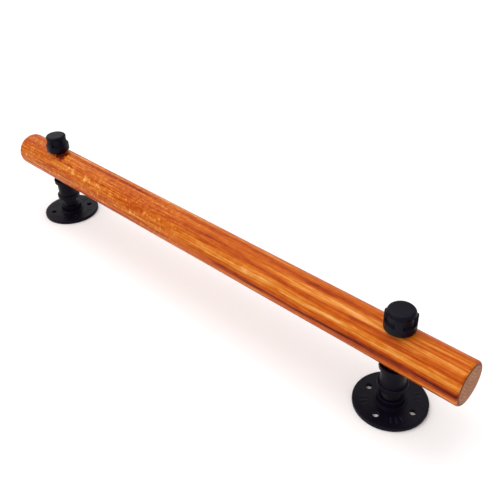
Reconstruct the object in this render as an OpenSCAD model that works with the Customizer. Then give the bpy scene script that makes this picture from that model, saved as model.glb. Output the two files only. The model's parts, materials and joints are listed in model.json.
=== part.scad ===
// Pull-up bar: a round wooden bar held off a wall by two posts of half-inch
// iron pipe fittings. Each post is a floor flange, a short nipple, a coupling,
// a long nipple that passes through the bar, and a cap that screws down on it.
// The flanges' backs lie on the plane z = 0 and the bar runs along X.

/* [Grip bar] */
// Diameter of the wooden bar
bar_dia = 47.5; // [40:0.5:60]
// Length of the wooden bar
bar_len = 740; // [610:5:1200]
// Rounding of the bar's end edges
bar_edge_r = 3; // [0.5:0.5:6]
// Clearance between the pipe and the bar's cross holes, on the radius
bar_hole_gap = 0.35; // [0.2:0.05:1]

/* [Posts] */
// Distance between the two posts
post_spacing = 584; // [400:2:704]
// Distance from the wall to the lower nipple's end
nipple_set_back = 3.5; // [0.5:0.5:6]
// Length of the lower nipple, which sets the hand gap behind the bar
lower_nipple_len = 38; // [34:1:80]
// Gap between the two nipples' ends inside the coupling
nipple_end_gap = 1; // [0.5:0.5:4]
// Clearance between the bar and the end of the coupling it rests on
bar_seat_gap = 0.05; // [0.01:0.01:0.3]
// Clearance between the bar and the cap over it, when the cap is tight
cap_seat_gap = 0.3; // [0.1:0.05:0.6]

/* [Pipe] */
// Outer diameter of the pipe, over the thread crests
pipe_dia = 21.3; // [17:0.1:27]
// Wall of the pipe
pipe_wall = 2.75; // [2:0.05:4]
// Pitch of the pipe thread
thread_pitch = 1.8143; // [1.3:0.0001:2.4]
// Depth of the pipe thread
thread_depth = 1; // [0.6:0.05:1.2]
// Length of thread on each end of a nipple
thread_len = 18; // [10:0.5:18]
// Clearance between a thread's crests and its fitting, on the radius
thread_fit = 0.05; // [0.01:0.01:0.1]

/* [Floor flanges] */
// Diameter of the flange
flange_dia = 80; // [68:1:110]
// Thickness of the flange's plate
flange_t = 4.2; // [3:0.1:8]
// Rounding of the plate's upper edge
flange_edge_r = 1.2; // [0.4:0.1:1.5]
// Wall of the threaded boss
boss_wall = 4.6; // [3:0.1:6]
// Height of the boss above the wall
boss_h = 14; // [10:0.5:20]
// Width of the step around the boss's foot
foot_w = 2.3; // [1:0.1:3]
// Height of that step above the plate
foot_h = 1.3; // [0.8:0.1:3]
// Diameter of the bolt circle
bolt_circle_dia = 54; // [50:1:62]
// Diameter of a bolt hole
bolt_hole_dia = 7; // [4:0.5:8]
// Number of bolt holes
bolt_count = 4; // [3:1:6]
// Turn of the left flange about its pipe, in degrees
left_flange_turn = -25; // [-90:1:90]
// Turn of the right flange about its pipe, in degrees
right_flange_turn = 0; // [-90:1:90]

/* [Couplings] */
// Length of the coupling
coupling_len = 31.5; // [24:0.5:48]
// Wall of the coupling under its end bands
band_wall = 5.5; // [4:0.1:8]
// Wall of the coupling at its waist
waist_wall = 2.7; // [2:0.1:4]
// Length of each end band
band_len = 6; // [4:0.5:9]
// Radius of the sweep from band to waist
waist_r = 1.6; // [0.5:0.1:2]

/* [Caps] */
// Height of the cap
cap_h = 23.5; // [20:0.5:32]
// Length of thread held by the cap
cap_thread_len = 14.3; // [8:0.1:15]
// Space between the nipple's end and the bottom of the cap's bore
cap_bore_relief = 1; // [0.5:0.1:3]
// Wall of the cap at its band
cap_band_wall = 5.4; // [4:0.1:8]
// Length of the cap's band
cap_band_len = 9.5; // [5:0.5:10]
// Rounding of the band's lower lip
cap_lip_r = 1.4; // [0.8:0.1:3]
// Wall of the cap between its ribs
cap_wall = 3; // [2.5:0.1:3.6]
// Wall of the cap at its crown
cap_crown_wall = 3.8; // [3.6:0.1:5]
// Height of the crown above the ribs
cap_crown_len = 4.6; // [4.6:0.1:7]
// Radius of the crown's shoulder
cap_shoulder_r = 3.6; // [2.6:0.1:3.8]
// Number of ribs
cap_ribs = 4; // [2:1:8]
// Width of a rib
cap_rib_w = 8; // [2:0.1:9]
// Height of a rib beyond the band
cap_rib_proud = 0.2; // [0.1:0.1:1]
// Turn of the left cap about its pipe, in degrees
left_cap_turn = 16; // [-90:1:90]
// Turn of the right cap about its pipe, in degrees
right_cap_turn = 26; // [-90:1:90]

/* [Hidden] */
$fn = 96;

SKIN = 1;              // how far a cutting tool runs past the face it cuts
CAST_R = 0.8;          // rounding of a casting's small edges
THREAD_CREST = 0.25;   // width of a thread crest, as a share of the pitch

WOOD = "chocolate";
IRON = "#232128";
PIPE = "#1b1a1f";

pipe_r = pipe_dia / 2;
bar_r = bar_dia / 2;
fitting_bore_r = pipe_r + thread_fit;
left_x = -post_spacing / 2;
right_x = post_spacing / 2;

// Heights, from the wall outwards
lower_nipple_z = nipple_set_back;
coupling_mid_z = lower_nipple_z + lower_nipple_len + nipple_end_gap / 2;
coupling_z = coupling_mid_z - coupling_len / 2;
coupling_top_z = coupling_z + coupling_len;
bar_axis_z = coupling_top_z + bar_seat_gap + bar_r;
upper_nipple_z = coupling_mid_z + nipple_end_gap / 2;
cap_z = bar_axis_z + bar_r + cap_seat_gap;
upper_nipple_len = cap_z + cap_thread_len - upper_nipple_z;

// Places a piece on a post: its axis along Z, its lower end at height z
module on_post(x, z, turn = 0) {
    translate([x, 0, z]) rotate([0, 0, turn]) children();
}

// Half-section of a plain ring from r1 to r2 and z1 to z2, for rotate_extrude.
// Its outer corners are true arcs: top_r at the upper one, low_r at the lower.
module ring_section(r1, r2, z1, z2, low_r = 0, top_r = 0) {
    difference() {
        translate([r1, z1]) square([r2 - r1, z2 - z1]);
        if (top_r > 0) corner_cut(r2, z2, top_r, 1);
        if (low_r > 0) corner_cut(r2, z1, low_r, -1);
    }
}

// What rounding takes off an outer corner at (r, z); side is 1 above, -1 below
module corner_cut(r, z, edge_r, side) {
    difference() {
        translate([r - edge_r, side > 0 ? z - edge_r : z - SKIN])
            square([edge_r + SKIN, edge_r + SKIN]);
        translate([r - edge_r, z - side * edge_r]) circle(edge_r);
    }
}

// A fillet in the corner between a cylinder of radius r and the face at z
module fillet_section(r, z, fillet_r, side) {
    difference() {
        translate([r - SKIN, side > 0 ? z - SKIN : z - fillet_r])
            square([fillet_r + SKIN, fillet_r + SKIN]);
        translate([r + fillet_r, z + side * fillet_r]) circle(fillet_r);
    }
}

// Round bar along X with rounded end edges and a cross hole at each post
module grip_bar() {
    color(WOOD) difference() {
        translate([-bar_len / 2, 0, bar_axis_z]) rotate([0, 90, 0])
            rotate_extrude() ring_section(0, bar_r, 0, bar_len, bar_edge_r, bar_edge_r);
        for (x = [left_x, right_x])
            translate([x, 0, bar_axis_z - bar_r - SKIN])
                cylinder(r = pipe_r + bar_hole_gap, h = bar_dia + 2 * SKIN);
    }
}

// Round plate with a stepped, threaded boss and a circle of bolt holes
module floor_flange(x, turn) {
    boss_r = fitting_bore_r + boss_wall;
    foot_r = boss_r + foot_w;
    foot_top = flange_t + foot_h;
    color(IRON) on_post(x, 0, turn) difference() {
        rotate_extrude() difference() {
            union() {
                ring_section(0, flange_dia / 2, 0, flange_t, 0, flange_edge_r);
                ring_section(0, foot_r, 0, foot_top, 0, CAST_R);
                ring_section(0, boss_r, 0, boss_h, 0, CAST_R);
                fillet_section(boss_r, foot_top, CAST_R, 1);
            }
            translate([0, -SKIN]) square([fitting_bore_r, boss_h + 2 * SKIN]);
        }
        for (i = [0 : bolt_count - 1])
            rotate([0, 0, i * 360 / bolt_count]) translate([bolt_circle_dia / 2, 0, -SKIN])
                cylinder(d = bolt_hole_dia, h = flange_t + 2 * SKIN);
    }
}

// Outline of a nipple from radius 0, with a row of thread grooves at each end
function thread_outline(z0, turns) = [
    for (i = [0 : turns - 1], p = [
        [pipe_r, 0], [pipe_r, THREAD_CREST],
        [pipe_r - thread_depth, (1 + THREAD_CREST) / 2]])
        [p[0], z0 + (i + p[1]) * thread_pitch]
];

// Pipe threaded at both ends; the thread is drawn as rings of its own pitch
module nipple(x, z, len) {
    bevel = thread_depth;
    turns = floor(min(thread_len, len / 2 - bevel) / thread_pitch);
    upper_z = len - bevel - turns * thread_pitch;
    color(PIPE) on_post(x, z) rotate_extrude() difference() {
        polygon(concat(
            [[0, 0], [pipe_r - bevel, 0]],
            thread_outline(bevel, turns),
            [[pipe_r, bevel + turns * thread_pitch]],
            thread_outline(upper_z, turns),
            [[pipe_r - bevel, len], [0, len]]));
        translate([-SKIN, -SKIN]) square([pipe_r - pipe_wall + SKIN, len + 2 * SKIN]);
    }
}

module lower_nipple(x) { nipple(x, lower_nipple_z, lower_nipple_len); }

module upper_nipple(x) { nipple(x, upper_nipple_z, upper_nipple_len); }

// Sleeve that joins the two nipples: a band at each end and a swept-in waist
module coupling(x) {
    band_r = fitting_bore_r + band_wall;
    waist = fitting_bore_r + waist_wall;
    color(IRON) on_post(x, coupling_z) rotate_extrude() difference() {
        union() {
            ring_section(0, waist, 0, coupling_len);
            ring_section(0, band_r, 0, band_len, CAST_R, CAST_R);
            ring_section(0, band_r, coupling_len - band_len, coupling_len, CAST_R, CAST_R);
            fillet_section(waist, band_len, waist_r, 1);
            fillet_section(waist, coupling_len - band_len, waist_r, -1);
        }
        translate([-SKIN, -SKIN]) square([fitting_bore_r + SKIN, coupling_len + 2 * SKIN]);
    }
}

// Cap that screws down on the upper nipple: a band, ribs and a domed crown
module cap(x, turn) {
    band_r = fitting_bore_r + cap_band_wall;
    wall_r = fitting_bore_r + cap_wall;
    crown_r = fitting_bore_r + cap_crown_wall;
    crown_z = cap_h - cap_crown_len;
    rib_r = band_r + cap_rib_proud;
    rib_len = crown_z + CAST_R - cap_lip_r;
    bore_len = cap_thread_len + cap_bore_relief;
    color(IRON) on_post(x, cap_z, turn) difference() {
        union() {
            rotate_extrude() union() {
                ring_section(0, band_r, 0, cap_band_len, cap_lip_r, CAST_R);
                ring_section(0, wall_r, 0, crown_z + CAST_R, cap_lip_r);
                ring_section(0, crown_r, crown_z, cap_h, CAST_R, cap_shoulder_r);
                fillet_section(wall_r, cap_band_len, CAST_R, 1);
            }
            for (i = [0 : cap_ribs - 1])
                rotate([0, 0, i * 360 / cap_ribs])
                    translate([0, -cap_rib_w / 2, cap_lip_r])
                        intersection() {
                            cube([rib_r, cap_rib_w, rib_len]);
                            translate([0, cap_rib_w / 2, 0]) cylinder(r = rib_r, h = rib_len);
                        }
        }
        translate([0, 0, -SKIN]) cylinder(r = fitting_bore_r, h = bore_len + SKIN);
    }
}

grip_bar();
floor_flange(left_x, left_flange_turn);  // left_floor_flange
floor_flange(right_x, right_flange_turn);  // right_floor_flange
lower_nipple(left_x);  // left_lower_nipple
lower_nipple(right_x);  // right_lower_nipple
coupling(left_x);  // left_coupling
coupling(right_x);  // right_coupling
upper_nipple(left_x);  // left_upper_nipple
upper_nipple(right_x);  // right_upper_nipple
cap(left_x, left_cap_turn);  // left_cap
cap(right_x, right_cap_turn);  // right_cap
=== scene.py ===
"""Looks of a wall-mounted pull-up bar: a stained wooden bar held by two posts of black iron pipe fittings.

Sizes are in millimetres and angles in degrees until a mesh, light or camera is made. Pieces take their places
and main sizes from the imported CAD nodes, and the rest, such as the caps' width, from the values below.
"""
import json
import math

import bmesh
import bpy
from mathutils import Matrix, Vector, noise


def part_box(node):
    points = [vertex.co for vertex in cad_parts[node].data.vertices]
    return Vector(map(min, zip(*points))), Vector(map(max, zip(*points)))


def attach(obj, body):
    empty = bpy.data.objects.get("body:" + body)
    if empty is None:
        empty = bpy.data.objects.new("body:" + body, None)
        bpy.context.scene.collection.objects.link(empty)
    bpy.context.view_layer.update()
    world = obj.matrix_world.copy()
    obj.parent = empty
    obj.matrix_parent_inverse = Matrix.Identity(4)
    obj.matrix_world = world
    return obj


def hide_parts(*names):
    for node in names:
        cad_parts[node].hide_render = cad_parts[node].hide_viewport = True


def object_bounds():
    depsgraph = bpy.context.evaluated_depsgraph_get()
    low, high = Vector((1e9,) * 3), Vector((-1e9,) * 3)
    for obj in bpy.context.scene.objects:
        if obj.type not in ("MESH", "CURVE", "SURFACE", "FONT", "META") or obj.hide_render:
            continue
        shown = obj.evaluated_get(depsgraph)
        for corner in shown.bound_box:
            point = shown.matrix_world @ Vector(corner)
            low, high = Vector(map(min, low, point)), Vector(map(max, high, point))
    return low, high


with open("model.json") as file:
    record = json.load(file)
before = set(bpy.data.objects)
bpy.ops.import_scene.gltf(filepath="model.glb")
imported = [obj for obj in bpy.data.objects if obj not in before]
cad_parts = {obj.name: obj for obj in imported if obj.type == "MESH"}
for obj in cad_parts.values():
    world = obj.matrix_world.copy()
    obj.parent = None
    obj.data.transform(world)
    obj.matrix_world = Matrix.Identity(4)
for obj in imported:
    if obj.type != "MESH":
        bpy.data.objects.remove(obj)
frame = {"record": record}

cad_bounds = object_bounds()

MM = 0.001
SIDES = ("left", "right")

# Camera: where it stands about the object, and the point it looks at, in mm from the frame's origin
CAMERA_AZIMUTH = 44.65
CAMERA_ELEVATION = 35.85
CAMERA_ROLL = -2.43
CAMERA_DISTANCE = 818.7
CAMERA_AIM = (51.7, 44.6, 58.1)
CAMERA_LENS = 46.95
CAMERA_SENSOR = 36

# Castings
CAST_ROUND = 0.8          # rounding of a casting's small edges
CAST_SWELL = 0.07         # how far the sand-cast skin wanders in or out
CAST_WAVE = 7.0           # length of that wander
CAST_LEAN = 0.6           # share of the swell by which the skin leans inwards, within the CAD box
CAST_STEP = 1.1           # longest mesh edge along a casting's outline
BORE_CHAMFER = 1.0        # chamfer at the mouth of a threaded bore

# Flange
FLANGE_PLATE = 4.2        # thickness of the plate
FLANGE_EDGE = 1.2         # rounding of the plate's upper edge
FLANGE_BOSS_WALL = 4.6
FLANGE_FOOT = (2.3, 1.3)  # width and height of the step round the boss
FLANGE_TURN = {"left": -25, "right": 0}
FLANGE_SIDES = 224        # mesh columns round the flange
HOLE_CHAMFER = 0.5
HOLE_SIDES = 48
RIB_MARKS = (-11, 0, 11)  # angles of the raised ribs in each group, from the middle between two holes
RIB_MARK_REACH = (25.0, 33.0)
RIB_MARK_WIDTH = 1.7
RIB_MARK_HEIGHT = 0.55
RIB_MARK_SLOPE = 0.35     # how far a raised rib's sides draw in
RIB_MARK_ROOT = 0.4       # how far its foot sinks into the plate

# Coupling
COUPLING_BAND = 6.0       # length of each end band
COUPLING_WAIST_WALL = 2.7
COUPLING_SWEEP = 1.6      # radius of the sweep from band to waist
COUPLING_SIDES = 192

# Cap
CAP_BAND_WALL = 5.4
CAP_BAND = 9.5            # length of the band
CAP_LIP = 1.4             # rounding of the band's lower lip
CAP_WALL = 3.0            # wall between the ribs
CAP_CROWN_WALL = 3.8
CAP_CROWN = 4.6           # height of the crown above the ribs
CAP_SHOULDER = 3.6        # radius of the crown's shoulder
CAP_DOME = 0.5            # how far the crown's top falls from its middle to the shoulder
CAP_BORE_DEPTH = 15.3
CAP_RIBS = 4
CAP_RIB_WIDTH = 8.0
CAP_RIB_DRAFT = 0.7       # how far a rib's side slopes
CAP_RIB_PROUD = 0.2       # height of a rib beyond the band
CAP_RIB_FOOT = 0.6        # half the height over which a rib rises above the lip
CAP_RIB_HEAD = (0.9, 0.5) # how far below and above the crown's edge a rib fades
CAP_ARCH = 2.0            # how far each bay between two ribs arches up into the crown
CAP_ARCH_RUN = 5.0        # distance from a rib over which the arch rises
CAP_ARCH_EDGE = 0.9       # height over which the scoop fades out under the arch
CAP_ARCH_FLOOR = 0.04     # share of the crown's step left at the bottom of the scoop
CAP_TURN = {"left": 16, "right": 26}
CAP_SIDES = 240
CAP_STEP = 0.7            # longest mesh edge along the cap's outline, finer for the ribs' ends

# Pipe nipples
THREAD_PITCH = 1.8143
THREAD_DEPTH = 1.0
THREAD_LENGTH = 18.0
THREAD_RUN_OUT = 3.0      # length over which the thread fades into the pipe
THREAD_ROWS = 10          # mesh rows per turn of thread
THREAD_FLANK = 0.38       # width of one side of the groove, as a share of the pitch
PIPE_WALL = 2.75
PIPE_SIDES = 96
FIT = 0.05                # clearance between a thread's crests and its fitting

# Grip bar
BAR_EDGE = 3.0            # rounding of the end edges
BAR_WANDER = 0.3          # how far the hand-sanded surface dips below the true cylinder
BAR_DIP = 90              # length of the long dips in that surface
BAR_LUMP = 26             # and of its small lumps
BAR_SIDES = 180
BAR_STEP = 2.2            # length of a mesh row along the bar
BAR_HOLE_GAP = 0.35       # clearance round the pipe
BAR_HOLE_SIDES = 96
BAR_FACE_RINGS = 8        # rings of mesh across each sawn end
DRILL_PAST = 5            # how far a drill reaches beyond the bar

# Stage
FLOOR_HALF = 40000        # half the width of the floor
FLOOR_DROP = 0.3          # gap between the flanges' backs and the floor
ROOM_GLOW = 0.7
# Each light: azimuth and elevation as the camera's are, strength, and how wide it looks in degrees
LIGHTS = {"overhead": (262, 62, 1.75, 70), "window": (330, 40, 0.55, 50)}


# ---------------------------------------------------------------- measures

def box_mm(node):
    """Lowest and highest corner of a CAD node, in millimetres."""
    lo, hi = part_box(node)
    return Vector(lo) / MM, Vector(hi) / MM


def post_x(side):
    """Place of a post along the bar."""
    lo, hi = box_mm(f"{side}_floor_flange")
    return (lo.x + hi.x) / 2


def smooth(value, start, end):
    """0 below start and 1 above end, with a soft rise between them."""
    share = min(max((value - start) / (end - start), 0.0), 1.0)
    return share * share * (3 - 2 * share)


bar_lo, bar_hi = box_mm("grip_bar")
BAR_R = (bar_hi.y - bar_lo.y) / 2
BAR_AXIS = (bar_hi.z + bar_lo.z) / 2
BAR_END = bar_hi.x
nipple_lo, nipple_hi = box_mm("left_upper_nipple")
PIPE_R = (nipple_hi.x - nipple_lo.x) / 2
BORE_R = PIPE_R + FIT


# ---------------------------------------------------------------- outlines

def rounded(corners, arc_points=7):
    """Turns corners (r, z, radius) into points (r, z), with an arc at each corner that has a radius."""
    points = []
    for i, (r, z, radius) in enumerate(corners):
        corner = Vector((r, z))
        if radius == 0:
            points.append(corner)
            continue
        back = (Vector(corners[i - 1][:2]) - corner).normalized()
        on = (Vector(corners[(i + 1) % len(corners)][:2]) - corner).normalized()
        half = back.angle(on) / 2
        centre = corner + (back + on).normalized() * radius / math.sin(half)
        start = corner + back * radius / math.tan(half) - centre
        end = corner + on * radius / math.tan(half) - centre
        for k in range(arc_points):
            points.append(centre + start.slerp(end, k / (arc_points - 1)).normalized() * radius)
    return points


def stepped(points, step, closed):
    """Adds points along an outline so that no stretch is longer than step."""
    out = []
    for a, b in zip(points, points[1:] + (points[:1] if closed else [])):
        count = max(1, math.ceil((b - a).length / step))
        out += [a.lerp(b, k / count) for k in range(count)]
    return out if closed else out + [points[-1]]


# ---------------------------------------------------------------- meshes

def new_piece(name, vertices, faces, body=None, nodes=()):
    """Makes a mesh object from millimetres. A piece rides a body and stands for CAD nodes. A tool doesn't."""
    mesh = bpy.data.meshes.new(name)
    mesh.from_pydata([Vector(v) * MM for v in vertices], [], faces)
    work = bmesh.new()
    work.from_mesh(mesh)
    bmesh.ops.remove_doubles(work, verts=work.verts, dist=1e-7)
    bmesh.ops.recalc_face_normals(work, faces=work.faces)
    work.to_mesh(mesh)
    work.free()
    piece = bpy.data.objects.new(name, mesh)
    bpy.context.scene.collection.objects.link(piece)
    if body:
        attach(piece, body)
        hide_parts(*nodes)
    return piece


def lathe(points, sides, closed, turn=0.0, reshape=None):
    """Turns an outline about the Z axis; an open one ends on it. reshape(angle, r, z) may move points."""
    vertices, faces = [], []
    count = len(points)
    for s in range(sides):
        angle = 2 * math.pi * s / sides
        for r, z in points:
            if reshape:
                r, z = reshape(angle, r, z)
            way = angle + math.radians(turn)
            vertices.append(Vector((r * math.cos(way), r * math.sin(way), z)))
    for s in range(sides):
        here, there = s * count, (s + 1) % sides * count
        for k in range(count if closed else count - 1):
            n = (k + 1) % count
            faces.append((here + k, there + k, there + n, here + n))
    return vertices, faces


def clean_faces(vertices, faces):
    """Drops faces that collapse to a line where an outline meets the axis."""
    kept = []
    for face in faces:
        corners = []
        for index in face:
            if all((vertices[index] - vertices[c]).length > 1e-6 for c in corners):
                corners.append(index)
        if len(corners) > 2:
            kept.append(tuple(corners))
    return kept


def cast_skin(vertices, seed, still):
    """Moves a casting's points a little, as a sand mould leaves them, except where still(point) holds."""
    for v in vertices:
        if still(v):
            continue
        spot = Vector((v.x + seed * 37.0, v.y - seed * 11.0, v.z)) / CAST_WAVE
        swell = CAST_SWELL * (noise.noise(spot) - CAST_LEAN)
        flat = Vector((v.x, v.y, 0.0))
        if flat.length > 1e-6:
            v += flat.normalized() * swell
        v.z += CAST_SWELL * 0.5 * noise.noise(spot + Vector((5.0, 9.0, 2.0)))


def combine(piece, tool, operation):
    """Cuts a tool from a piece, or joins it on, and removes the tool."""
    cut = piece.modifiers.new(operation.lower(), "BOOLEAN")
    cut.operation = operation
    cut.object = tool
    cut.solver = "EXACT"
    evaluated = piece.evaluated_get(bpy.context.evaluated_depsgraph_get())
    result = bpy.data.meshes.new_from_object(evaluated)
    piece.modifiers.remove(cut)
    piece.data = result
    bpy.data.objects.remove(tool)


def finish_mesh(piece, material, sharp=35):
    """Gives a piece its material and shades it smooth except over sharp edges."""
    piece.data.materials.clear()
    piece.data.materials.append(material)
    piece.data.polygons.foreach_set("use_smooth", [True] * len(piece.data.polygons))
    piece.data.set_sharp_from_angle(angle=math.radians(sharp))


def moved(vertices, x, z):
    """Puts a piece built about the Z axis on its post."""
    return [v + Vector((x, 0, z)) for v in vertices]


# ---------------------------------------------------------------- materials

def linear(code):
    """A colour given as an sRGB hex code, as the linear values that shaders take."""
    parts = [int(code[i:i + 2], 16) / 255 for i in (1, 3, 5)]
    return (*[c / 12.92 if c <= 0.04045 else ((c + 0.055) / 1.055) ** 2.4 for c in parts], 1.0)


def add(tree, kind, settings=None, inputs=None):
    """Adds a node. A node among the inputs stands for its first output; stops are a colour ramp's."""
    node = tree.nodes.new(kind)
    for key, value in (settings or {}).items():
        if key == "stops":
            ramp = node.color_ramp
            while len(ramp.elements) < len(value):
                ramp.elements.new(0.5)
            for element, (place, code) in zip(ramp.elements, value):
                element.position = place
                element.color = linear(code)
        else:
            setattr(node, key, value)
    for key, value in (inputs or {}).items():
        if isinstance(value, bpy.types.Node):
            value = value.outputs[0]
        if isinstance(value, bpy.types.NodeSocket):
            tree.links.new(value, node.inputs[key])
        else:
            node.inputs[key].default_value = value
    return node


def new_material(name):
    """An empty node material: its tree, its surface shader and its coordinates in millimetres."""
    material = bpy.data.materials.new(name)
    material.use_nodes = True
    tree = material.node_tree
    tree.nodes.clear()
    shader = add(tree, "ShaderNodeBsdfPrincipled")
    add(tree, "ShaderNodeOutputMaterial", inputs={"Surface": shader})
    place = add(tree, "ShaderNodeTexCoord")
    millimetres = add(tree, "ShaderNodeVectorMath", {"operation": "SCALE"},
                      {0: place.outputs["Object"], "Scale": 1 / MM})
    return material, tree, shader, millimetres


def band_group():
    """A soft-edged patch on the bar, given by where it starts and ends along it and its angle round it."""
    group = bpy.data.node_groups.new("stain and painted light band", "ShaderNodeTree")
    for name in ("Along", "Around", "Start", "End", "Angle", "Width", "Tone", "Rise", "Fade"):
        group.interface.new_socket(name, in_out="INPUT", socket_type="NodeSocketFloat")
    group.interface.new_socket("Tone", in_out="OUTPUT", socket_type="NodeSocketFloat")
    given = add(group, "NodeGroupInput").outputs
    soft = {"interpolation_type": "SMOOTHSTEP"}
    opened = add(group, "ShaderNodeMath", {"operation": "SUBTRACT"}, {0: given["Along"], 1: given["Start"]})
    closed = add(group, "ShaderNodeMath", {"operation": "SUBTRACT"}, {0: given["End"], 1: given["Along"]})
    off = add(group, "ShaderNodeMath", {"operation": "SUBTRACT"}, {0: given["Around"], 1: given["Angle"]})
    away = add(group, "ShaderNodeMath", {"operation": "ABSOLUTE"}, {0: off})
    parts = [
        add(group, "ShaderNodeMapRange", soft, {"Value": value, "From Min": first, "From Max": last})
        for value, first, last in ((opened, given["Rise"], given["Fade"]),
                                   (closed, given["Rise"], given["Fade"]),
                                   (away, given["Width"], 0.0))]
    total = given["Tone"]
    for part in parts:
        total = add(group, "ShaderNodeMath", {"operation": "MULTIPLY"}, {0: total, 1: part})
    add(group, "NodeGroupOutput", inputs={0: total})
    return group


BAND_FADE = 22.0          # half the length over which a band's ends fade
PATCH_FADE = 3.0          # the same for a patch
# Broad bands in the stain, and painted light on the bar: where each starts and ends from the bar's middle,
# its angle from the top towards the front, its half-width in degrees, and its tone, where less than 0 is
# darker
STAIN_AND_LIGHT_BANDS = (
    # paler grain together with a painted highlight of the key light along the upper front
    (100, 390, 26, 11, 0.10),
    (150, 290, 28, 8, 0.08),
    (90, 300, 41, 10, -0.14),
    (-60, 390, 60, 18, 0.22),
    (170, 390, 70, 11, 0.26),
    (50, 390, 90, 13, -0.42),
    (205, 300, 89, 8, -0.14),
    # pale strip under the bar: painted reflection of the white floor
    (60, 390, 110, 7, 0.14),
    (180, 260, 5, 7, -0.20),
    (-260, -100, -6, 12, -0.26),
    (-340, -60, 66, 26, 0.12),
    (-400, -290, 20, 60, -0.16),
    (10, 70, 40, 14, -0.16),
)
# Smaller marks in the same terms: a painted shadow that the left cap casts on the bar beside it, and pale
# cross flecks
WOOD_FLECKS_AND_SHADOW_PATCHES = (
    # painted shadow of the left cap on the bar
    (-284, -266, 14, 34, -0.95),
    (100, 109, 62, 18, 0.13),
    (-74, -67, 52, 12, 0.30),
    (-236, -230, 48, 22, 0.26),
    (-206, -199, 55, 20, 0.30),
    (-176, -171, 42, 18, 0.24),
    (-148, -142, 56, 18, 0.26),
)


def stained_pine():
    """Turned pine, stained orange and varnished: lengthwise streaks and broad bands with a soft sheen, and
    painted light and shade among the bands.
    """
    material, tree, shader, spot = new_material("stained varnished pine")
    split = add(tree, "ShaderNodeSeparateXYZ", inputs={0: spot})
    height = add(tree, "ShaderNodeMath", {"operation": "SUBTRACT"}, {0: split.outputs["Z"], 1: BAR_AXIS})
    front = add(tree, "ShaderNodeMath", {"operation": "MULTIPLY"}, {0: split.outputs["Y"], 1: -1.0})
    turn = add(tree, "ShaderNodeMath", {"operation": "ARCTAN2"}, {0: front, 1: height})
    around = add(tree, "ShaderNodeMath", {"operation": "DEGREES"}, {0: turn})
    along = split.outputs["X"]

    def streaks(length, width, detail, rough=0.55):
        """Noise drawn out along the grain."""
        drawn = add(tree, "ShaderNodeVectorMath", {"operation": "MULTIPLY"},
                    {0: spot, 1: (1 / length, 1 / width, 1 / width)})
        return add(tree, "ShaderNodeTexNoise",
                   inputs={"Vector": drawn, "Scale": 1.0, "Detail": detail, "Roughness": rough})

    def weigh(total, value, weight, middle=0.5):
        """Adds (value - middle) x weight to a running total."""
        level = add(tree, "ShaderNodeMath", {"operation": "SUBTRACT"}, {0: value, 1: middle})
        return add(tree, "ShaderNodeMath", {"operation": "MULTIPLY_ADD"}, {0: level, 1: weight, 2: total})

    # Ragged ends and wandering edges for the bands
    ragged = weigh(along, streaks(60.0, 2.0, 3), 130.0)
    wander = weigh(around, streaks(170.0, 10.0, 3), 26.0)
    spread = weigh(along, streaks(5.0, 3.0, 3), 22.0)

    tone = 0.5
    group = band_group()
    marks = [(ragged, BAND_FADE, row) for row in STAIN_AND_LIGHT_BANDS]
    marks += [(spread, PATCH_FADE, row) for row in WOOD_FLECKS_AND_SHADOW_PATCHES]
    for place, fade, (start, end, angle, width, strength) in marks:
        band = add(tree, "ShaderNodeGroup", {"node_tree": group},
                   {"Along": place, "Around": wander, "Start": start, "End": end,
                    "Angle": angle, "Width": width, "Tone": strength, "Rise": -fade, "Fade": fade})
        tone = add(tree, "ShaderNodeMath", {"operation": "ADD"}, {0: tone, 1: band})

    # Growth bands 9 mm wide, streaks of 2.4 mm, fibres drawn 1 mm wide so that they show, and short blotches
    tone = weigh(tone, streaks(220.0, 9.0, 2), 0.75)
    tone = weigh(tone, streaks(70.0, 2.4, 3), 0.95)
    tone = weigh(tone, streaks(24.0, 1.0, 3), 0.55)
    tone = weigh(tone, streaks(9.0, 5.0, 3), 0.30)

    # Blotchy, cross-flecked stretch towards the left end
    blotch = add(tree, "ShaderNodeMapRange", {"interpolation_type": "SMOOTHSTEP"},
                 {"Value": ragged, "From Min": 60.0, "From Max": -60.0})
    mottle = weigh(0.0, streaks(7.0, 3.0, 4, 0.65), 0.75)
    flecks = add(tree, "ShaderNodeMapRange", {"interpolation_type": "SMOOTHSTEP"},
                 {"Value": streaks(2.6, 7.0, 2), "From Min": 0.56, "From Max": 0.72, "To Max": 0.30})
    mottle = add(tree, "ShaderNodeMath", {"operation": "ADD"}, {0: mottle, 1: flecks})
    tone = add(tree, "ShaderNodeMath", {"operation": "MULTIPLY_ADD"}, {0: mottle, 1: blotch, 2: tone})

    colour = add(tree, "ShaderNodeValToRGB", {"stops": (
        (0.0, "#521200"), (0.2, "#8E2E00"), (0.42, "#B04A02"), (0.6, "#C26210"),
        (0.8, "#D48434"), (1.0, "#E6AA6A"))}, {"Fac": tone})
    tree.links.new(colour.outputs[0], shader.inputs["Base Color"])
    rough = add(tree, "ShaderNodeMapRange", inputs={"Value": tone, "To Min": 0.5, "To Max": 0.34})
    tree.links.new(rough.outputs[0], shader.inputs["Roughness"])
    shader.inputs["IOR"].default_value = 1.5
    shader.inputs["Specular IOR Level"].default_value = 0.06
    shader.inputs["Coat Weight"].default_value = 0.05
    shader.inputs["Coat Roughness"].default_value = 0.2
    shader.inputs["Coat IOR"].default_value = 1.5

    relief = weigh(0.0, streaks(14.0, 0.55, 2), 0.12)
    relief = weigh(relief, streaks(55.0, 4.0, 2), 0.5)
    bump = add(tree, "ShaderNodeBump", inputs={"Height": relief, "Strength": 0.5, "Distance": 0.25 * MM})
    tree.links.new(bump.outputs[0], shader.inputs["Normal"])
    return material


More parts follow.
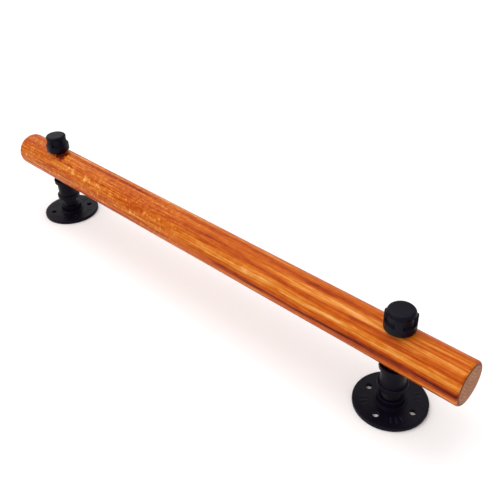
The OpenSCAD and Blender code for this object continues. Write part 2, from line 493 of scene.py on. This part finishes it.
def end_grain():
    """Sawn and sanded end of the bar: duller, browner wood with faint growth rings and a darker rim."""
    material, tree, shader, spot = new_material("stained end grain")
    split = add(tree, "ShaderNodeSeparateXYZ", inputs={0: spot})
    flat = add(tree, "ShaderNodeCombineXYZ", inputs={"Y": split.outputs["Y"], "Z": split.outputs["Z"]})
    # The rings are wide arcs, as in a dowel cut beside the heart of the tree
    heart = (0.0, 38.0, BAR_AXIS + 46.0)
    ring_gap = 3.4
    from_heart = add(tree, "ShaderNodeVectorMath", {"operation": "DISTANCE"}, {0: flat, 1: heart})
    wave = add(tree, "ShaderNodeMath", {"operation": "MULTIPLY"},
               {0: from_heart.outputs["Value"], 1: 2 * math.pi / ring_gap})
    rings = add(tree, "ShaderNodeMath", {"operation": "SINE"}, {0: wave})
    pores = add(tree, "ShaderNodeTexNoise", inputs={"Vector": flat, "Scale": 1 / 1.1, "Detail": 4})
    patches = add(tree, "ShaderNodeTexNoise", inputs={"Vector": flat, "Scale": 1 / 11.0, "Detail": 2})
    tone = add(tree, "ShaderNodeMath", {"operation": "MULTIPLY_ADD"}, {0: rings, 1: 0.06, 2: 0.0})
    tone = add(tree, "ShaderNodeMath", {"operation": "MULTIPLY_ADD"}, {0: pores, 1: 0.5, 2: tone})
    tone = add(tree, "ShaderNodeMath", {"operation": "MULTIPLY_ADD"}, {0: patches, 1: 0.5, 2: tone})
    colour = add(tree, "ShaderNodeValToRGB", {"stops": (
        (0.3, "#703A12"), (0.5, "#925220"), (0.7, "#B27438"))}, {"Fac": tone})
    from_axis = add(tree, "ShaderNodeVectorMath", {"operation": "DISTANCE"},
                    {0: flat, 1: (0.0, 0.0, BAR_AXIS)})
    rim = add(tree, "ShaderNodeMapRange", {"interpolation_type": "SMOOTHSTEP"},
              {"Value": from_axis.outputs["Value"], "From Min": BAR_R - 4.4, "From Max": BAR_R - 3.0})
    stained = add(tree, "ShaderNodeMix", {"data_type": "RGBA"},
                  {"Factor": rim, 6: colour, 7: linear("#6A2E0C")})
    tree.links.new(stained.outputs[2], shader.inputs["Base Color"])
    shader.inputs["Roughness"].default_value = 0.5
    shader.inputs["IOR"].default_value = 1.5
    shader.inputs["Specular IOR Level"].default_value = 0.15
    bump = add(tree, "ShaderNodeBump", inputs={"Height": pores, "Strength": 0.4, "Distance": 0.2 * MM})
    tree.links.new(bump.outputs[0], shader.inputs["Normal"])
    return material


def black_cast_iron():
    """Sand-cast malleable iron in a thin black coat: near black, half matt, grainy, with painted highlights
    on its edges.
    """
    material, tree, shader, spot = new_material("black coated cast iron")
    patches = add(tree, "ShaderNodeTexNoise", inputs={"Vector": spot, "Scale": 1 / 9.0, "Detail": 3})
    grit = add(tree, "ShaderNodeTexNoise",
               inputs={"Vector": spot, "Scale": 1 / 0.7, "Detail": 3, "Roughness": 0.6})
    colour = add(tree, "ShaderNodeValToRGB", {"stops": (
        (0.3, "#090711"), (0.7, "#0F0B19"))}, {"Fac": patches})
    # Painted highlight: sharp edges are made paler to stand for the light rims they catch
    edge = add(tree, "ShaderNodeNewGeometry").outputs["Pointiness"]
    edge_highlight = add(tree, "ShaderNodeMapRange", {"interpolation_type": "SMOOTHSTEP"},
               {"Value": edge, "From Min": 0.53, "From Max": 0.62, "To Max": 0.6})
    mixed = add(tree, "ShaderNodeMix", {"data_type": "RGBA"},
                {"Factor": edge_highlight, 6: colour, 7: linear("#2C2733")})
    tree.links.new(mixed.outputs[2], shader.inputs["Base Color"])
    rough = add(tree, "ShaderNodeMapRange", inputs={"Value": grit, "To Min": 0.26, "To Max": 0.48})
    tree.links.new(rough.outputs[0], shader.inputs["Roughness"])
    shader.inputs["Specular IOR Level"].default_value = 0.08
    bump = add(tree, "ShaderNodeBump", inputs={"Height": grit, "Strength": 0.35, "Distance": 0.2 * MM})
    tree.links.new(bump.outputs[0], shader.inputs["Normal"])
    return material


def black_pipe():
    """Drawn steel pipe in black lacquer: smoother than the castings, with faint draw lines."""
    material, tree, shader, spot = new_material("black lacquered steel pipe")
    drawn = add(tree, "ShaderNodeVectorMath", {"operation": "MULTIPLY"},
                {0: spot, 1: (1 / 0.8, 1 / 0.8, 1 / 20.0)})
    lines = add(tree, "ShaderNodeTexNoise", inputs={"Vector": drawn, "Scale": 1.0, "Detail": 2})
    colour = add(tree, "ShaderNodeValToRGB", {"stops": ((0.3, "#0D0A12"), (0.7, "#151119"))}, {"Fac": lines})
    tree.links.new(colour.outputs[0], shader.inputs["Base Color"])
    rough = add(tree, "ShaderNodeMapRange", inputs={"Value": lines, "To Min": 0.3, "To Max": 0.48})
    tree.links.new(rough.outputs[0], shader.inputs["Roughness"])
    shader.inputs["Specular IOR Level"].default_value = 0.14
    bump = add(tree, "ShaderNodeBump", inputs={"Height": lines, "Strength": 0.2, "Distance": 0.1 * MM})
    tree.links.new(bump.outputs[0], shader.inputs["Normal"])
    return material


# ---------------------------------------------------------------- pieces

def grip_bar(wood, ends):
    """The wooden bar: a sanded cylinder with softened ends and a cross hole for each post."""
    rows = math.ceil((2 * BAR_END - 2 * BAR_EDGE) / BAR_STEP)
    run = [(BAR_R, -BAR_END + BAR_EDGE + k * (2 * BAR_END - 2 * BAR_EDGE) / rows) for k in range(rows + 1)]
    arc = [(BAR_R - BAR_EDGE * (1 - math.cos(math.radians(a))),
            BAR_END - BAR_EDGE * (1 - math.sin(math.radians(a)))) for a in range(9, 91, 9)]
    face = [((BAR_R - BAR_EDGE) * (1 - k / BAR_FACE_RINGS), BAR_END) for k in range(1, BAR_FACE_RINGS + 1)]
    outline = [(r, -x) for r, x in reversed(arc + face)] + run + arc + face
    vertices, faces = [], []
    for r, x in outline:
        for s in range(BAR_SIDES):
            angle = 2 * math.pi * s / BAR_SIDES
            dip = noise.noise(Vector((x / BAR_DIP, 1.6 * math.cos(angle), 1.6 * math.sin(angle))))
            lump = noise.noise(Vector((x / BAR_LUMP, 3 * math.cos(angle), 3 * math.sin(angle) + 7)))
            depth = BAR_WANDER * (0.5 + 0.4 * dip + 0.1 * lump) * r / BAR_R
            near = r - depth
            vertices.append(Vector((x, near * math.sin(angle), BAR_AXIS + near * math.cos(angle))))
    for k in range(len(outline) - 1):
        for s in range(BAR_SIDES):
            n = (s + 1) % BAR_SIDES
            faces.append((k * BAR_SIDES + s, (k + 1) * BAR_SIDES + s,
                          (k + 1) * BAR_SIDES + n, k * BAR_SIDES + n))
    piece = new_piece("grip_bar_dowel", vertices, clean_faces(vertices, faces),
                      "root", ["grip_bar"])
    hole_r, reach = PIPE_R + BAR_HOLE_GAP, BAR_R + DRILL_PAST
    for side in SIDES:
        hole, hole_faces = lathe([(0, -reach), (hole_r, -reach), (hole_r, reach), (0, reach)],
                                 BAR_HOLE_SIDES, False)
        tool = new_piece("drill", moved(hole, post_x(side), BAR_AXIS), clean_faces(hole, hole_faces))
        combine(piece, tool, "DIFFERENCE")
    finish_mesh(piece, wood, sharp=40)
    piece.data.materials.append(ends)
    for face in piece.data.polygons:
        if abs(face.normal.x) > 0.8:    # the sawn ends
            face.material_index = 1


def floor_flange(side, iron):
    """A round cast plate with a stepped, threaded boss, four bolt holes and groups of plain raised ribs."""
    node = f"{side}_floor_flange"
    lo, hi = box_mm(node)
    rim_r, boss_h = (hi.x - lo.x) / 2, hi.z - lo.z
    boss_r = BORE_R + FLANGE_BOSS_WALL
    foot_r, foot_top = boss_r + FLANGE_FOOT[0], FLANGE_PLATE + FLANGE_FOOT[1]
    outline = rounded([
        (BORE_R, 0, 0), (rim_r, 0, 0.3), (rim_r, FLANGE_PLATE, FLANGE_EDGE),
        (foot_r, FLANGE_PLATE, 0.4), (foot_r, foot_top, 0.6), (boss_r, foot_top, CAST_ROUND),
        (boss_r, boss_h, CAST_ROUND), (BORE_R + BORE_CHAMFER, boss_h, 0), (BORE_R, boss_h - BORE_CHAMFER, 0)])
    vertices, faces = lathe(stepped(outline, CAST_STEP, True), FLANGE_SIDES, True)
    cast_skin(vertices, len(side), lambda v: v.z < 0.05 or v.xy.length < BORE_R + 0.2)
    for v in vertices:
        v.z = min(v.z, boss_h)
    piece = new_piece(f"{node}_casting", vertices, faces, "root", [node])
    holes = next(m["dims"] for m in frame["record"]["mounts"] if m["name"] == f"{side}_bolt_circle")
    circle_r, hole_r = holes["pcd_mm"] / 2, holes["hole_r_mm"]
    tools_v, tools_f = [], []
    marks_v, marks_f = [], []
    for k in range(holes["count"]):
        angle = math.radians(k * 360 / holes["count"])
        top = FLANGE_PLATE + 1
        drill, drill_f = lathe([(0, -1), (hole_r, -1), (hole_r, FLANGE_PLATE - HOLE_CHAMFER),
                                (hole_r + HOLE_CHAMFER + 1, top), (0, top)], HOLE_SIDES, False)
        join_on(tools_v, tools_f, [v + Vector((circle_r * math.cos(angle), circle_r * math.sin(angle), 0))
                                   for v in drill], clean_faces(drill, drill_f))
        for turn in RIB_MARKS:
            way = math.radians(turn + (k + 0.5) * 360 / holes["count"])
            join_on(marks_v, marks_f, *raised_rib(way))
    mark_tool = new_piece("marks", marks_v, marks_f)
    combine(piece, mark_tool, "UNION")
    drill_tool = new_piece("drills", tools_v, tools_f)
    combine(piece, drill_tool, "DIFFERENCE")
    turned = Matrix.Rotation(math.radians(FLANGE_TURN[side]), 4, "Z")
    piece.data.transform(Matrix.Translation((post_x(side) * MM, 0, 0)) @ turned)
    finish_mesh(piece, iron)


def join_on(vertices, faces, more_vertices, more_faces):
    """Adds one mesh's points and faces to another's."""
    first = len(vertices)
    vertices += more_vertices
    faces += [tuple(first + i for i in face) for face in more_faces]


def raised_rib(way):
    """A low radial rib with sloping sides."""
    inner, outer = RIB_MARK_REACH
    base, top = FLANGE_PLATE - RIB_MARK_ROOT, FLANGE_PLATE + RIB_MARK_HEIGHT
    half = RIB_MARK_WIDTH / 2
    cos, sin = math.cos(way), math.sin(way)
    loops = []
    for z, draw in ((base, 0.0), (FLANGE_PLATE, 0.0), (top, RIB_MARK_SLOPE)):
        for r, w in ((inner + draw, -half + draw), (outer - draw, -half + draw),
                     (outer - draw, half - draw), (inner + draw, half - draw)):
            loops.append(Vector((r * cos - w * sin, r * sin + w * cos, z)))
    faces = [(3, 2, 1, 0), (8, 9, 10, 11)]
    for ring in (0, 4):
        for k in range(4):
            n = (k + 1) % 4
            faces.append((ring + k, ring + n, ring + 4 + n, ring + 4 + k))
    return loops, faces


def coupling(side, iron):
    """A cast sleeve with a rounded band at each end and a swept-in waist."""
    node = f"{side}_coupling"
    lo, hi = box_mm(node)
    band_r, length = (hi.x - lo.x) / 2, hi.z - lo.z
    waist_r = BORE_R + COUPLING_WAIST_WALL
    mouth = BORE_R + BORE_CHAMFER
    outline = rounded([
        (BORE_R, BORE_CHAMFER, 0), (mouth, 0, 0), (band_r, 0, CAST_ROUND),
        (band_r, COUPLING_BAND, CAST_ROUND), (waist_r, COUPLING_BAND, COUPLING_SWEEP),
        (waist_r, length - COUPLING_BAND, COUPLING_SWEEP), (band_r, length - COUPLING_BAND, CAST_ROUND),
        (band_r, length, CAST_ROUND), (mouth, length, 0), (BORE_R, length - BORE_CHAMFER, 0)])
    vertices, faces = lathe(stepped(outline, CAST_STEP, True), COUPLING_SIDES, True)
    cast_skin(vertices, 3 + len(side), lambda v: v.xy.length < mouth + 0.1)
    for v in vertices:
        v.z = min(max(v.z, 0.0), length)
    piece = new_piece(f"{node}_casting", moved(vertices, post_x(side), lo.z), faces,
                      "root", [node])
    finish_mesh(piece, iron)


def thread_depth_at(z, angle, length):
    """How deep the right-hand thread is cut at a place on a nipple."""
    from_end = min(z, length - z)
    fade = 1 - smooth(from_end, THREAD_LENGTH - THREAD_RUN_OUT, THREAD_LENGTH)
    phase = (z / THREAD_PITCH - angle / (2 * math.pi)) % 1.0
    groove = max(0.0, 1 - abs(phase - 0.5) / THREAD_FLANK)
    bevel = max(0.0, 1 - from_end / THREAD_DEPTH)
    return THREAD_DEPTH * max(groove * fade, bevel)


def nipple(side, place, steel):
    """A length of pipe with a true helical thread at each end."""
    node = f"{side}_{place}_nipple"
    lo, hi = box_mm(node)
    length = hi.z - lo.z
    inner = PIPE_R - PIPE_WALL
    row = THREAD_PITCH / THREAD_ROWS
    end_rows = math.ceil((THREAD_LENGTH + 1) / row)
    heights = [k * row for k in range(end_rows)]
    heights += [length - h for h in reversed(heights)]
    outline = [(inner, 0)]
    outline += [(PIPE_R, z) for z in sorted(set(heights)) if 0 <= z <= length]
    outline += [(inner, length)]

    def cut(angle, r, z):
        return (r - thread_depth_at(z, angle, length) if r == PIPE_R else r, z)

    vertices, faces = lathe(outline, PIPE_SIDES, True, reshape=cut)
    # The nipple stays in its coupling while the cap is turned, so it rides with the posts
    piece = new_piece(f"{node}_pipe", moved(vertices, post_x(side), lo.z), faces,
                      "root", [node])
    finish_mesh(piece, steel, sharp=50)


def cap(side, iron):
    """A cast cap: a band at its mouth, ribs up its sides and a domed crown with a soft shoulder."""
    node = f"{side}_cap"
    lo, hi = box_mm(node)
    height = hi.z - lo.z
    band_r, wall_r, crown_r = BORE_R + CAP_BAND_WALL, BORE_R + CAP_WALL, BORE_R + CAP_CROWN_WALL
    rib_r = band_r + CAP_RIB_PROUD
    crown_z = height - CAP_CROWN
    mouth = BORE_R + BORE_CHAMFER
    shoulder = height - CAP_DOME
    outline = rounded([
        (0, CAP_BORE_DEPTH, 0), (BORE_R, CAP_BORE_DEPTH, 0), (BORE_R, BORE_CHAMFER, 0), (mouth, 0, 0),
        (band_r, 0, CAP_LIP), (band_r, CAP_BAND, CAST_ROUND), (wall_r, CAP_BAND, CAST_ROUND),
        (wall_r, crown_z, 0), (crown_r, crown_z, 0.4), (crown_r, shoulder, CAP_SHOULDER), (0, height, 0)], 9)

    def ribbed(angle, r, z):
        """Pushes the wall out to the ribs, and scoops the arched top of each bay out of the crown."""
        if r < wall_r - 0.6:    # the bore, its mouth and the middle of the crown stay as they are
            return r, z
        from_rib = abs((math.degrees(angle) + 180 / CAP_RIBS) % (360 / CAP_RIBS) - 180 / CAP_RIBS)
        offset = math.radians(from_rib) * rib_r
        side_rise = 1 - smooth(offset, CAP_RIB_WIDTH / 2 - CAP_RIB_DRAFT / 2,
                               CAP_RIB_WIDTH / 2 + CAP_RIB_DRAFT)
        end_rise = smooth(z, CAP_LIP - CAP_RIB_FOOT, CAP_LIP + CAP_RIB_FOOT)
        end_rise *= 1 - smooth(z, crown_z - CAP_RIB_HEAD[0], crown_z + CAP_RIB_HEAD[1])
        r = max(r, r + (rib_r - r) * side_rise * end_rise)
        past_rib = offset - CAP_RIB_WIDTH / 2
        arch = crown_z + CAP_ARCH * smooth(past_rib, 0.0, CAP_ARCH_RUN)
        if z >= crown_z and z < arch and r > wall_r:
            r = wall_r + (r - wall_r) * max(smooth(z, arch - CAP_ARCH_EDGE, arch), CAP_ARCH_FLOOR)
        return r, z

    points = stepped(outline, CAP_STEP, False)
    vertices, faces = lathe(points, CAP_SIDES, False, CAP_TURN[side], ribbed)
    faces = clean_faces(vertices, faces)
    cast_skin(vertices, 8 + len(side), lambda v: v.xy.length < mouth + 0.1)
    for v in vertices:
        v.z = min(max(v.z, 0.0), height)
    piece = new_piece(f"{node}_casting", moved(vertices, post_x(side), lo.z), faces,
                      f"{side}_screw_cap", [node])
    finish_mesh(piece, iron, sharp=50)


# ---------------------------------------------------------------- stage

def floor():
    """A plain near-white floor under the flanges."""
    z = cad_bounds[0].z / MM - FLOOR_DROP
    mesh = bpy.data.meshes.new("floor")
    mesh.from_pydata([(x * FLOOR_HALF * MM, y * FLOOR_HALF * MM, z * MM)
                      for x, y in ((-1, -1), (1, -1), (1, 1), (-1, 1))], [], [(0, 1, 2, 3)])
    piece = bpy.data.objects.new("floor", mesh)
    bpy.context.scene.collection.objects.link(piece)
    material, _, shader, _ = new_material("matt white paper")
    shader.inputs["Base Color"].default_value = linear("#FAFAFA")
    shader.inputs["Roughness"].default_value = 0.9
    shader.inputs["Specular IOR Level"].default_value = 0.1
    mesh.materials.append(material)


def sun(name, azimuth, elevation, strength, spread):
    """A soft, white, far light."""
    a, e = math.radians(azimuth), math.radians(elevation)
    way = Vector((math.sin(a) * math.cos(e), -math.cos(a) * math.cos(e), math.sin(e)))
    light = bpy.data.lights.new(name, "SUN")
    light.energy = strength
    light.angle = math.radians(spread)
    lamp = bpy.data.objects.new(name, light)
    lamp.rotation_mode = "QUATERNION"
    lamp.rotation_quaternion = way.to_track_quat("Z", "Y")
    bpy.context.scene.collection.objects.link(lamp)


def light_scene():
    """A broad light from above the left end, a weaker one from the front on that side, and a pale room."""
    for name, settings in LIGHTS.items():
        sun(name, *settings)
    world = bpy.data.worlds.new("pale room")
    world.use_nodes = True
    sky = world.node_tree.nodes["Background"]
    sky.inputs["Color"].default_value = linear("#FFFFFF")
    sky.inputs["Strength"].default_value = ROOM_GLOW
    bpy.context.scene.world = world
    bpy.context.scene.view_settings.view_transform = "Standard"


def stand_camera():
    """Stands the camera in front of the bar, above and beyond its right end, turned to the left end."""
    a, e, roll = (math.radians(d) for d in (CAMERA_AZIMUTH, CAMERA_ELEVATION, CAMERA_ROLL))
    back = Vector((math.sin(a) * math.cos(e), -math.cos(a) * math.cos(e), math.sin(e)))
    level = Vector((math.cos(a), math.sin(a), 0))
    rise = back.cross(level)
    right = math.cos(roll) * level + math.sin(roll) * rise
    up = back.cross(right)
    camera = bpy.data.objects.new("camera", bpy.data.cameras.new("camera"))
    camera.data.lens = CAMERA_LENS
    camera.data.sensor_width = CAMERA_SENSOR
    camera.rotation_mode = "QUATERNION"
    camera.location = (Vector(CAMERA_AIM) + back * CAMERA_DISTANCE) * MM
    camera.rotation_quaternion = Matrix((right, up, back)).transposed().to_quaternion()
    bpy.context.scene.collection.objects.link(camera)
    bpy.context.scene.camera = camera


stand_camera()
light_scene()
floor()
IRON = black_cast_iron()
STEEL = black_pipe()
grip_bar(stained_pine(), end_grain())
for side_name in SIDES:
    floor_flange(side_name, IRON)
    nipple(side_name, "lower", STEEL)
    coupling(side_name, IRON)
    nipple(side_name, "upper", STEEL)
    cap(side_name, IRON)
